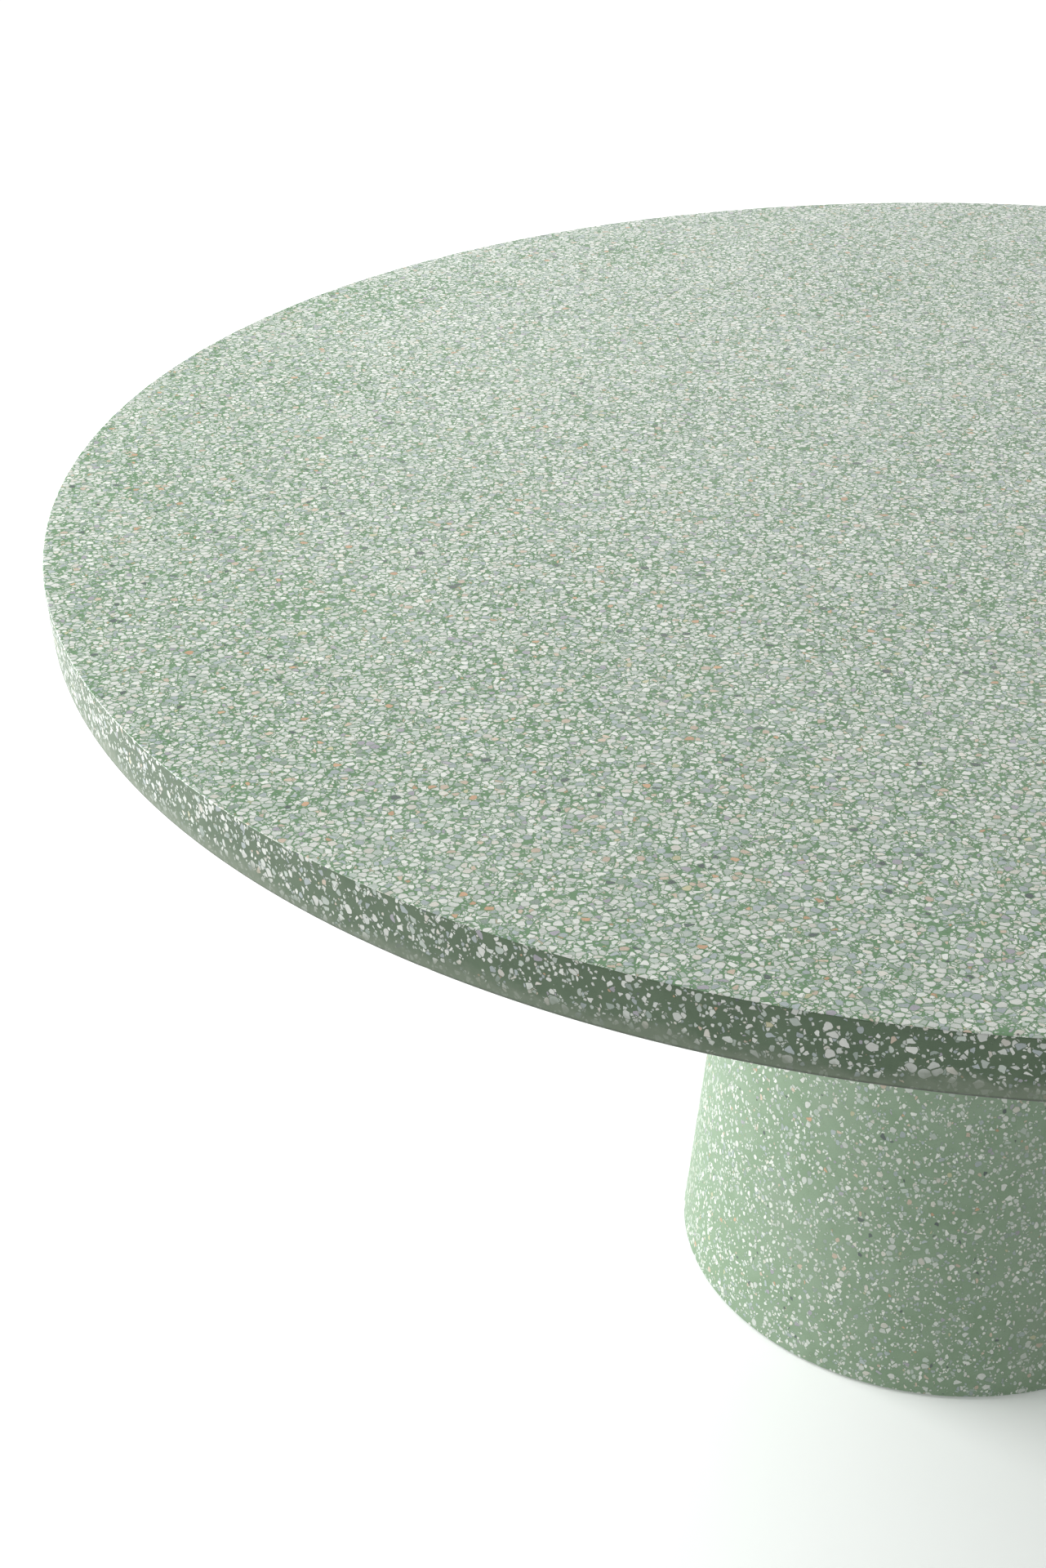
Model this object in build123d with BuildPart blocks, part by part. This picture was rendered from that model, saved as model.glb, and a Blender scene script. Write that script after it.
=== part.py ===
from build123d import *
import os
from math import cos, radians, sin, sqrt

# Round pedestal table of cast terrazzo.
#
# A solid slab is bolted, through a steel plate let into its underside, to the head of a
# hollow cast cone. The cone stands on six levelling feet that are let into its rim, so that
# only a hairline gap shows at the floor. Steel reinforcement and threaded sockets are cast
# into both terrazzo pieces.
#
# Frame: millimetres, origin on the floor under the middle of the table, +Z up.

# ---- Overall sizes ---------------------------------------------------------------------

table_height = 760.0
top_diameter = 1500.0
top_thickness = 44.0
pedestal_foot_diameter = 480.0
pedestal_head_diameter = 332.0
floor_gap = 2.0  # the cone's rim stands this far above the floor

# ---- Terrazzo slab ---------------------------------------------------------------------

edge_draft = 2.0  # the edge leans in by this much from the top face to the underside
top_arris = 1.0
lower_arris = 2.8
cast_gap = 0.05  # play between a cast-in piece and the cement around it

mesh_wire_diameter = 4.0
mesh_hoop_diameter = 6.0
mesh_wires = 9  # in each direction
mesh_rim_share = 0.85  # of a pitch, left between the outermost wire and the hoop
mesh_weld_bite = 0.8  # how far two crossing wires are pressed into each other
mesh_cover = 8.0  # terrazzo left above the mesh
mesh_edge_cover = 25.0
mesh_socket_gap = 1.5

# ---- Steel plate between slab and pedestal ---------------------------------------------

plate_diameter = 560.0
plate_thickness = 8.0
plate_bore_diameter = 80.0
plate_edge_chamfer = 1.0
pocket_clearance = 3.0
bedding_thickness = 2.0
bedding_inset = 4.0

top_bolt_count = 8
top_bolt_inset = 45.0  # from the plate's edge to the bolts' axes
top_bolt_diameter = 10.0
top_bolt_hole_play = 1.0
top_bolt_head_flats = 16.0
top_bolt_head_height = 6.4
top_washer_diameter = 20.0
top_washer_thickness = 2.0
top_socket_wall = 3.0
socket_end_wall = 1.5
bolt_end_gap = 1.0
thread_play = 0.05  # radial play of a screw in its socket

head_screw_count = 6
head_screw_inset = 51.0  # from the edge of the pedestal's head to the screws' axes
head_screw_diameter = 12.0
head_screw_hole_play = 1.5
head_screw_head_diameter = 24.0
head_screw_key_flats = 8.0
head_screw_key_depth = 4.0
head_screw_reach = 26.0  # how deep the screws go into the pedestal
head_socket_wall = 4.0
countersink_play = 0.3

# ---- Pedestal --------------------------------------------------------------------------

gasket_thickness = 2.0
gasket_inset = 6.0
gasket_width = 75.0
gasket_hole_play = 1.0

pedestal_wall = 38.0
pedestal_head_thickness = 60.0
pedestal_ring_width = 75.0
pedestal_ring_height = 60.0
pedestal_ring_slope = 35.0
pedestal_head_arris = 1.5
pedestal_foot_arris = 1.5

cage_bar_diameter = 6.0
cage_hoop_diameter = 5.0
cage_bar_count = 12
cage_hoop_count = 5
cage_weld_bite = 1.0
cage_end_cover = 25.0

# ---- Levelling feet --------------------------------------------------------------------

foot_count = 6
foot_circle_inset = 37.0  # from the cone's outer edge at the floor to the feet's axes
foot_screw_diameter = 12.0
foot_screw_length = 38.0
foot_hex_flats = 19.0
foot_hex_height = 6.5
foot_stop_gap = 0.5  # left between the hexagon and its socket when screwed home
foot_pad_diameter = 38.0
foot_pad_height = 6.0
foot_pad_chamfer = 1.5
foot_pad_gap = 0.3  # between the pad and the hexagon that turns on it
foot_sole_inset = 4.0  # from the pad's edge to the sole's
foot_sole_height = 2.5
foot_sole_proud = 1.0
foot_sole_play = 0.05  # round the sole in the pad's recess
foot_pivot_diameter = 10.0
foot_pivot_depth = 3.5
foot_pocket_play = 3.0
foot_socket_wall = 4.0

# ---- Sizes worked out from those above -------------------------------------------------

top_radius = top_diameter / 2
underside_z = table_height - top_thickness

pocket_radius = plate_diameter / 2 + pocket_clearance
pocket_depth = plate_thickness + bedding_thickness
pocket_z = underside_z + pocket_depth
plate_top_z = underside_z + plate_thickness

wire_radius = mesh_wire_diameter / 2
hoop_wire_radius = mesh_hoop_diameter / 2
mesh_height = 2 * mesh_wire_diameter - mesh_weld_bite
upper_wire_z = table_height - mesh_cover - wire_radius
lower_wire_z = upper_wire_z - mesh_height + mesh_wire_diameter
mesh_hoop_z = (upper_wire_z + lower_wire_z) / 2
mesh_hoop_radius = top_radius - mesh_edge_cover
mesh_pitch = 2 * mesh_hoop_radius / (mesh_wires - 1 + 2 * mesh_rim_share)

top_bolt_radius = plate_diameter / 2 - top_bolt_inset
top_bolt_start = 180 / top_bolt_count
top_bolt_hole_diameter = top_bolt_diameter + top_bolt_hole_play
top_socket_diameter = top_bolt_diameter + 2 * top_socket_wall
top_socket_length = lower_wire_z - wire_radius - mesh_socket_gap - pocket_z
top_socket_bore_depth = top_socket_length - socket_end_wall
top_bolt_seat_z = underside_z - top_washer_thickness
top_bolt_length = pocket_z + top_socket_bore_depth - bolt_end_gap - top_bolt_seat_z

pedestal_top_z = underside_z - gasket_thickness
pedestal_foot_radius = pedestal_foot_diameter / 2
pedestal_head_radius = pedestal_head_diameter / 2
cone_slope = (pedestal_foot_radius - pedestal_head_radius) / (pedestal_top_z - floor_gap)
cavity_top_z = pedestal_top_z - pedestal_head_thickness
ring_top_z = floor_gap + pedestal_ring_height
ring_inner_radius = pedestal_foot_radius - pedestal_ring_width

gasket_outer_radius = pedestal_head_radius - gasket_inset
gasket_inner_radius = gasket_outer_radius - gasket_width
head_screw_radius = pedestal_head_radius - head_screw_inset
head_screw_hole_diameter = head_screw_diameter + head_screw_hole_play
head_screw_head_height = (head_screw_head_diameter - head_screw_diameter) / 2
head_socket_diameter = head_screw_diameter + 2 * head_socket_wall
head_socket_length = head_screw_reach + bolt_end_gap + socket_end_wall

foot_radius = pedestal_foot_radius - foot_circle_inset
foot_pad_z = foot_sole_proud
foot_pad_top_z = foot_pad_z + foot_pad_height
foot_hex_z = foot_pad_top_z + foot_pad_gap
foot_hex_top_z = foot_hex_z + foot_hex_height
foot_socket_z = foot_hex_top_z + foot_stop_gap
foot_screw_end_z = foot_hex_top_z + foot_screw_length
foot_socket_length = foot_screw_end_z + bolt_end_gap + socket_end_wall - foot_socket_z
foot_socket_diameter = foot_screw_diameter + 2 * foot_socket_wall
foot_sole_radius = foot_pad_diameter / 2 - foot_sole_inset
foot_pocket_radius = foot_pad_diameter / 2 + foot_pocket_play
foot_socket_end_z = foot_socket_z + foot_socket_length

cage_foot_z = foot_socket_end_z - cage_end_cover
cage_head_z = pedestal_top_z - cage_end_cover


def cone_radius(z):
    """Outer radius of the pedestal at a height."""
    return pedestal_foot_radius - cone_slope * (z - floor_gap)


def bar_radius(z):
    """Distance from the axis to the cage's upright bars, in the middle of the wall."""
    return cone_radius(z) - pedestal_wall / 2


def threaded_socket(plane, start_angle, circle_radius, count, outside, bore, length):
    """Cast-in sockets on a circle: barrels that open at the plane, bored almost through."""
    with BuildPart() as sockets:
        with BuildSketch(plane):
            with PolarLocations(circle_radius, count, start_angle):
                Circle(outside / 2)
        extrude(amount=length)
        with BuildSketch(plane):
            with PolarLocations(circle_radius, count, start_angle):
                Circle(bore / 2 + thread_play)
        extrude(amount=length - socket_end_wall, mode=Mode.SUBTRACT)
    return sockets.part


def welded_mesh(play=0.0):
    """The slab's mesh: two layers of crossing wires inside a hoop. Play thickens every wire."""
    with BuildPart() as mesh:
        for index in range(mesh_wires):
            aside = (index - (mesh_wires - 1) / 2) * mesh_pitch
            half_length = sqrt(mesh_hoop_radius**2 - aside**2)
            with BuildSketch(Plane.YZ.offset(-half_length)):
                with Locations((aside, lower_wire_z)):
                    Circle(wire_radius + play)
            extrude(amount=2 * half_length)
            with BuildSketch(Plane.XZ.offset(-half_length)):
                with Locations((aside, upper_wire_z)):
                    Circle(wire_radius + play)
            extrude(amount=2 * half_length)
        with BuildSketch(Plane.XZ):
            with Locations((mesh_hoop_radius, mesh_hoop_z)):
                Circle(hoop_wire_radius + play)
        revolve(axis=Axis.Z)
    return mesh.part


def welded_cage(play=0.0):
    """The pedestal's cage: sloping bars with hoops outside them. Play thickens every bar."""
    rise = cage_head_z - cage_foot_z
    lean = bar_radius(cage_head_z) - bar_radius(cage_foot_z)
    hoop_offset = (cage_bar_diameter + cage_hoop_diameter) / 2 - cage_weld_bite
    with BuildPart() as cage:
        for index in range(cage_bar_count):
            angle = radians((index + 0.5) * 360 / cage_bar_count)
            foot = (bar_radius(cage_foot_z) * cos(angle), bar_radius(cage_foot_z) * sin(angle))
            along = (lean * cos(angle), lean * sin(angle), rise)
            with BuildSketch(Plane((*foot, cage_foot_z), z_dir=along)):
                Circle(cage_bar_diameter / 2 + play)
            extrude(amount=sqrt(rise**2 + lean**2))
        for index in range(cage_hoop_count):
            height = cage_foot_z + rise * (index + 1) / (cage_hoop_count + 1)
            with BuildSketch(Plane.XZ):
                with Locations((bar_radius(height) + hoop_offset, height)):
                    Circle(cage_hoop_diameter / 2 + play)
            revolve(axis=Axis.Z)
    return cage.part


# ---- Slab and what is cast into it -----------------------------------------------------

top_mesh = welded_mesh()

top_sockets = threaded_socket(
    Plane.XY.offset(pocket_z),
    top_bolt_start,
    top_bolt_radius,
    top_bolt_count,
    top_socket_diameter,
    top_bolt_diameter,
    top_socket_length,
)

with BuildPart() as table_top:
    with BuildSketch(Plane.XZ):
        with BuildLine():
            Polyline(
                (0, underside_z),
                (top_radius - edge_draft, underside_z),
                (top_radius, table_height),
                (0, table_height),
                close=True,
            )
        make_face()
    revolve(axis=Axis.Z)
    chamfer(table_top.edges().group_by(Axis.Z)[-1], top_arris)
    fillet(table_top.edges().group_by(Axis.Z)[0], lower_arris)
    with BuildSketch(Plane.XY.offset(underside_z)):
        Circle(pocket_radius)
    extrude(amount=pocket_depth, mode=Mode.SUBTRACT)
    with BuildSketch(Plane.XY.offset(pocket_z)):
        with PolarLocations(top_bolt_radius, top_bolt_count, top_bolt_start):
            Circle(top_socket_diameter / 2 + cast_gap)
    extrude(amount=top_socket_length, mode=Mode.SUBTRACT)
    add(welded_mesh(cast_gap), mode=Mode.SUBTRACT)

# ---- Plate, its bedding and its fixings ------------------------------------------------

with BuildPart() as bedding_pad:
    with BuildSketch(Plane.XY.offset(plate_top_z)):
        Circle(plate_diameter / 2 - bedding_inset)
        Circle(plate_bore_diameter / 2 + bedding_inset, mode=Mode.SUBTRACT)
        with PolarLocations(top_bolt_radius, top_bolt_count, top_bolt_start):
            Circle(top_bolt_hole_diameter / 2, mode=Mode.SUBTRACT)
    extrude(amount=bedding_thickness)

with BuildPart() as mounting_plate:
    with BuildSketch(Plane.XY.offset(underside_z)):
        Circle(plate_diameter / 2)
        Circle(plate_bore_diameter / 2, mode=Mode.SUBTRACT)
        with PolarLocations(top_bolt_radius, top_bolt_count, top_bolt_start):
            Circle(top_bolt_hole_diameter / 2, mode=Mode.SUBTRACT)
    extrude(amount=plate_thickness)
    chamfer(
        mounting_plate.edges().group_by(Axis.Z)[0].sort_by(SortBy.LENGTH)[-1],
        plate_edge_chamfer,
    )
    with Locations(Plane.XY.offset(plate_top_z)):
        with PolarLocations(head_screw_radius, head_screw_count):
            CounterSinkHole(
                radius=head_screw_hole_diameter / 2,
                counter_sink_radius=head_screw_head_diameter / 2 + countersink_play,
                depth=plate_thickness,
                counter_sink_angle=90,
            )

with BuildPart() as top_washers:
    with BuildSketch(Plane.XY.offset(top_bolt_seat_z)):
        with PolarLocations(top_bolt_radius, top_bolt_count, top_bolt_start):
            Circle(top_washer_diameter / 2)
            Circle(top_bolt_diameter / 2 + thread_play, mode=Mode.SUBTRACT)
    extrude(amount=top_washer_thickness)

with BuildPart() as top_bolts:
    with BuildSketch(Plane.XY.offset(top_bolt_seat_z - top_bolt_head_height)):
        with PolarLocations(top_bolt_radius, top_bolt_count, top_bolt_start):
            RegularPolygon(top_bolt_head_flats / 2, 6, major_radius=False)
    extrude(amount=top_bolt_head_height)
    with BuildSketch(Plane.XY.offset(top_bolt_seat_z)):
        with PolarLocations(top_bolt_radius, top_bolt_count, top_bolt_start):
            Circle(top_bolt_diameter / 2)
    extrude(amount=top_bolt_length)

with BuildPart() as plate_screws:
    with BuildSketch(Plane.XZ):
        with BuildLine():
            Polyline(
                (head_screw_radius, pedestal_top_z - head_screw_reach),
                (head_screw_radius + head_screw_diameter / 2, pedestal_top_z - head_screw_reach),
                (head_screw_radius + head_screw_diameter / 2, plate_top_z - head_screw_head_height),
                (head_screw_radius + head_screw_head_diameter / 2, plate_top_z),
                (head_screw_radius, plate_top_z),
                close=True,
            )
        make_face()
    revolve(axis=Axis((head_screw_radius, 0, 0), (0, 0, 1)))
    with BuildSketch(Plane.XY.offset(plate_top_z)):
        with Locations((head_screw_radius, 0)):
            RegularPolygon(head_screw_key_flats / 2, 6, major_radius=False)
    extrude(amount=-head_screw_key_depth, mode=Mode.SUBTRACT)
    first_screw = plate_screws.part
    for index in range(1, head_screw_count):
        add(first_screw.rotate(Axis.Z, index * 360 / head_screw_count))

# ---- Pedestal and what is cast into it -------------------------------------------------

with BuildPart() as head_gasket:
    with BuildSketch(Plane.XY.offset(pedestal_top_z)):
        Circle(gasket_outer_radius)
        Circle(gasket_inner_radius, mode=Mode.SUBTRACT)
        with PolarLocations(head_screw_radius, head_screw_count):
            Circle(head_screw_diameter / 2 + gasket_hole_play, mode=Mode.SUBTRACT)
    extrude(amount=gasket_thickness)

pedestal_cage = welded_cage()

head_sockets = threaded_socket(
    -Plane.XY.offset(pedestal_top_z),
    0,
    head_screw_radius,
    head_screw_count,
    head_socket_diameter,
    head_screw_diameter,
    head_socket_length,
)

foot_sockets = threaded_socket(
    Plane.XY.offset(foot_socket_z),
    0,
    foot_radius,
    foot_count,
    foot_socket_diameter,
    foot_screw_diameter,
    foot_socket_length,
)

with BuildPart() as pedestal:
    slope_top_z = ring_top_z + pedestal_ring_slope
    with BuildSketch(Plane.XZ):
        with BuildLine():
            Polyline(
                (ring_inner_radius, floor_gap),
                (pedestal_foot_radius, floor_gap),
                (pedestal_head_radius, pedestal_top_z),
                (0, pedestal_top_z),
                (0, cavity_top_z),
                (cone_radius(cavity_top_z) - pedestal_wall, cavity_top_z),
                (cone_radius(slope_top_z) - pedestal_wall, slope_top_z),
                (ring_inner_radius, ring_top_z),
                close=True,
            )
        make_face()
    revolve(axis=Axis.Z)
    chamfer(pedestal.edges().group_by(Axis.Z)[-1], pedestal_head_arris)
    chamfer(
        pedestal.edges().group_by(Axis.Z)[0].sort_by(SortBy.LENGTH)[-1], pedestal_foot_arris
    )
    with BuildSketch(Plane.XY.offset(floor_gap)):
        with PolarLocations(foot_radius, foot_count):
            Circle(foot_pocket_radius)
    extrude(amount=foot_socket_z - floor_gap, mode=Mode.SUBTRACT)
    with BuildSketch(Plane.XY.offset(foot_socket_z)):
        with PolarLocations(foot_radius, foot_count):
            Circle(foot_socket_diameter / 2 + cast_gap)
    extrude(amount=foot_socket_length, mode=Mode.SUBTRACT)
    with BuildSketch(Plane.XY.offset(pedestal_top_z)):
        with PolarLocations(head_screw_radius, head_screw_count):
            Circle(head_socket_diameter / 2 + cast_gap)
    extrude(amount=-head_socket_length, mode=Mode.SUBTRACT)
    add(welded_cage(cast_gap), mode=Mode.SUBTRACT)

nodes = {
    "table_top": table_top.part,
    "top_mesh": top_mesh,
    "top_sockets": top_sockets,
    "bedding_pad": bedding_pad.part,
    "mounting_plate": mounting_plate.part,
    "top_washers": top_washers.part,
    "top_bolts": top_bolts.part,
    "plate_screws": plate_screws.part,
    "head_gasket": head_gasket.part,
    "head_sockets": head_sockets,
    "pedestal": pedestal.part,
    "pedestal_cage": pedestal_cage,
    "foot_sockets": foot_sockets,
}

# ---- Levelling feet, stored screwed home -----------------------------------------------

for number in range(1, foot_count + 1):
    angle = radians((number - 1) * 360 / foot_count)
    floor_plane = Plane((foot_radius * cos(angle), foot_radius * sin(angle), 0))

    with BuildPart() as foot_sole:
        with BuildSketch(floor_plane):
            Circle(foot_sole_radius)
        extrude(amount=foot_sole_height)

    with BuildPart() as foot_pad:
        with BuildSketch(floor_plane.offset(foot_pad_z)):
            Circle(foot_pad_diameter / 2)
        extrude(amount=foot_pad_height)
        chamfer(foot_pad.edges().group_by(Axis.Z)[-1], foot_pad_chamfer)
        with BuildSketch(floor_plane.offset(foot_pad_z)):
            Circle(foot_sole_radius + foot_sole_play)
        extrude(amount=foot_sole_height - foot_sole_proud, mode=Mode.SUBTRACT)
        with BuildSketch(floor_plane.offset(foot_pad_top_z)):
            Circle(foot_pivot_diameter / 2 + thread_play)
        extrude(amount=-foot_pivot_depth, mode=Mode.SUBTRACT)

    with BuildPart() as foot_screw:
        with BuildSketch(floor_plane.offset(foot_pad_top_z - foot_pivot_depth + foot_pad_gap)):
            Circle(foot_pivot_diameter / 2)
        extrude(amount=foot_pivot_depth)
        with BuildSketch(floor_plane.offset(foot_hex_z)):
            RegularPolygon(foot_hex_flats / 2, 6, major_radius=False)
        extrude(amount=foot_hex_height)
        with BuildSketch(floor_plane.offset(foot_hex_top_z)):
            Circle(foot_screw_diameter / 2)
        extrude(amount=foot_screw_length)

    nodes[f"foot_{number}_sole"] = foot_sole.part
    nodes[f"foot_{number}_pad"] = foot_pad.part
    nodes[f"foot_{number}_screw"] = foot_screw.part

os.makedirs("parts", exist_ok=True)
for name, part in nodes.items():
    part.label = name
    export_step(part, f"parts/{name}.step")
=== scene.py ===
from math import cos, hypot, radians, sin, tau

import bmesh
import bpy
from mathutils import Matrix, Vector, noise


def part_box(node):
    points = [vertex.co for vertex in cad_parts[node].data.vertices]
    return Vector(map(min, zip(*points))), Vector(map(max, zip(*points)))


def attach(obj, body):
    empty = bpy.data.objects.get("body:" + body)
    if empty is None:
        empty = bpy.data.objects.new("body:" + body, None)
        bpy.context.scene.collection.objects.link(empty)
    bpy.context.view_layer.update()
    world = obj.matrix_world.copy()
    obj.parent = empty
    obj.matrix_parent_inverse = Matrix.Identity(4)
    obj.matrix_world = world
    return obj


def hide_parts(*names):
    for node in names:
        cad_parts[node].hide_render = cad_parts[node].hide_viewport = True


# The looks of a round terrazzo table: a cast disc on a hollow cast cone, with the steel
# plate, bolts and levelling feet that hold it. Metres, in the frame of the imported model.

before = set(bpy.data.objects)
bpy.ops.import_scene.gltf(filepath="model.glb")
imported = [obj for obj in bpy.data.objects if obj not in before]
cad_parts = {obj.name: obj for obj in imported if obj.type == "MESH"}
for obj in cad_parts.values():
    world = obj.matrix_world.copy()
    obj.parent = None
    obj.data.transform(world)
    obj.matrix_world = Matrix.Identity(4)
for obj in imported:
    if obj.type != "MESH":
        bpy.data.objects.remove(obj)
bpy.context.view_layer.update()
MM = 0.001


def reach(node, height=None):
    """The largest radius of a node about the table's axis, or of its points at one height."""
    points = [v.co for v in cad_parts[node].data.vertices]
    if height is not None:
        points = [p for p in points if abs(p.z - height) < 0.01 * MM]
    return max(hypot(p.x, p.y) for p in points)


# ---- Sizes -----------------------------------------------------------------------------

top_low, top_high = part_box("table_top")
pedestal_low, pedestal_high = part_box("pedestal")

TOP_RADIUS = reach("table_top")
EDGE_DRAFT = 2 * MM
TOP_ARRIS = 1.0 * MM
LOWER_ARRIS = 2.8 * MM
POCKET_RADIUS = reach("mounting_plate") + 3 * MM
POCKET_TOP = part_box("bedding_pad")[1].z

FOOT_RADIUS = reach("pedestal", pedestal_low.z)
HEAD_RADIUS = reach("pedestal", pedestal_high.z)
PEDESTAL_ARRIS = 1.5 * MM
PEDESTAL_WALL = 38 * MM
HEAD_THICKNESS = 60 * MM
RING_WIDTH = 75 * MM
RING_HEIGHT = 60 * MM
RING_SLOPE = 35 * MM

TOP_BOLT_CIRCLE = 235 * MM
TOP_BOLT_COUNT = 8
TOP_BOLT_START = 22.5  # degrees
TOP_BOLT_FLATS = 16 * MM
TOP_BOLT_RADIUS = 5 * MM
TOP_BOLT_PITCH = 1.5 * MM
TOP_SOCKET_BORE = 8.05 * MM
WASHER_INNER = 5.05 * MM
WASHER_OUTER = 10 * MM
HEAD_SCREW_CIRCLE = 115 * MM
HEAD_SCREW_COUNT = 6
HEAD_SOCKET_BORE = 10.05 * MM
FIXING_SPIN = 60  # degrees, the most that a bolt or washer is spun about its own axis
FOOT_COUNT = 6
FOOT_CIRCLE = 203 * MM
FOOT_POCKET_RADIUS = 22 * MM
FOOT_POCKET_TOP = 14.3 * MM
FOOT_HEX_LOW = 7.3 * MM
FOOT_HEX_TOP = 13.8 * MM
FOOT_SCREW_FLATS = 19 * MM
FOOT_SCREW_RADIUS = 6 * MM
FOOT_SCREW_PITCH = 1.75 * MM
FOOT_PIVOT_RADIUS = 5 * MM
FOOT_SOCKET_BORE = 10.05 * MM
TREAD_RADII = (3.2 * MM, 6.0 * MM, 8.8 * MM, 11.6 * MM)
TREAD_DEPTH = 0.7 * MM
OVERCUT = 1 * MM  # how far a bore's solid sticks out of what it is cut from


# ---- Camera ----------------------------------------------------------------------------

CAMERA_PLACE = (-0.3839, -1.7342, 1.4995)
CAMERA_DOWN = 0.5278
CAMERA_ROLL = -0.0214
CAMERA_LENS = 54.17


def add_camera():
    """The camera stands left of the table's middle, looks along +Y and down, and leans a bit."""
    camera = bpy.data.objects.new("camera", bpy.data.cameras.new("camera"))
    camera.data.sensor_fit = "VERTICAL"
    camera.data.sensor_height = 36
    camera.data.lens = CAMERA_LENS
    ahead = Vector((0, cos(CAMERA_DOWN), -sin(CAMERA_DOWN)))
    up = Vector((0, sin(CAMERA_DOWN), cos(CAMERA_DOWN)))
    side = Vector((1, 0, 0))
    right = side * cos(CAMERA_ROLL) + up * sin(CAMERA_ROLL)
    top = up * cos(CAMERA_ROLL) - side * sin(CAMERA_ROLL)
    turn = Matrix((right, top, -ahead)).transposed().to_4x4()
    camera.matrix_world = Matrix.Translation(CAMERA_PLACE) @ turn
    bpy.context.scene.collection.objects.link(camera)
    bpy.context.scene.camera = camera


# ---- Finishes --------------------------------------------------------------------------


class Value:
    """One output of a shader node, which takes part in Python arithmetic."""

    def __init__(self, finish, socket):
        self.finish = finish
        self.socket = socket

    def _maths(self, operation, first, second=0.0):
        settings = {"operation": operation}
        return self.finish.node("ShaderNodeMath", settings, {0: first, 1: second})[0]

    def __add__(self, other):
        return self._maths("ADD", self, other)

    def __sub__(self, other):
        return self._maths("SUBTRACT", self, other)

    def __rsub__(self, other):
        return self._maths("SUBTRACT", other, self)

    def __mul__(self, other):
        return self._maths("MULTIPLY", self, other)

    def __gt__(self, other):
        return self._maths("GREATER_THAN", self, other)

    def __lt__(self, other):
        return self._maths("LESS_THAN", self, other)

    def __neg__(self):
        return self._maths("MULTIPLY", self, -1.0)

    def least(self, other):
        return self._maths("MINIMUM", self, other)

    def most(self, other):
        return self._maths("MAXIMUM", self, other)

    __radd__ = __add__
    __rmul__ = __mul__


class Made:
    """A shader node that was just made. Its outputs are read by name or by number."""

    def __init__(self, finish, made):
        self.finish = finish
        self.made = made

    def __getitem__(self, output):
        return Value(self.finish, self.made.outputs[output])


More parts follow.
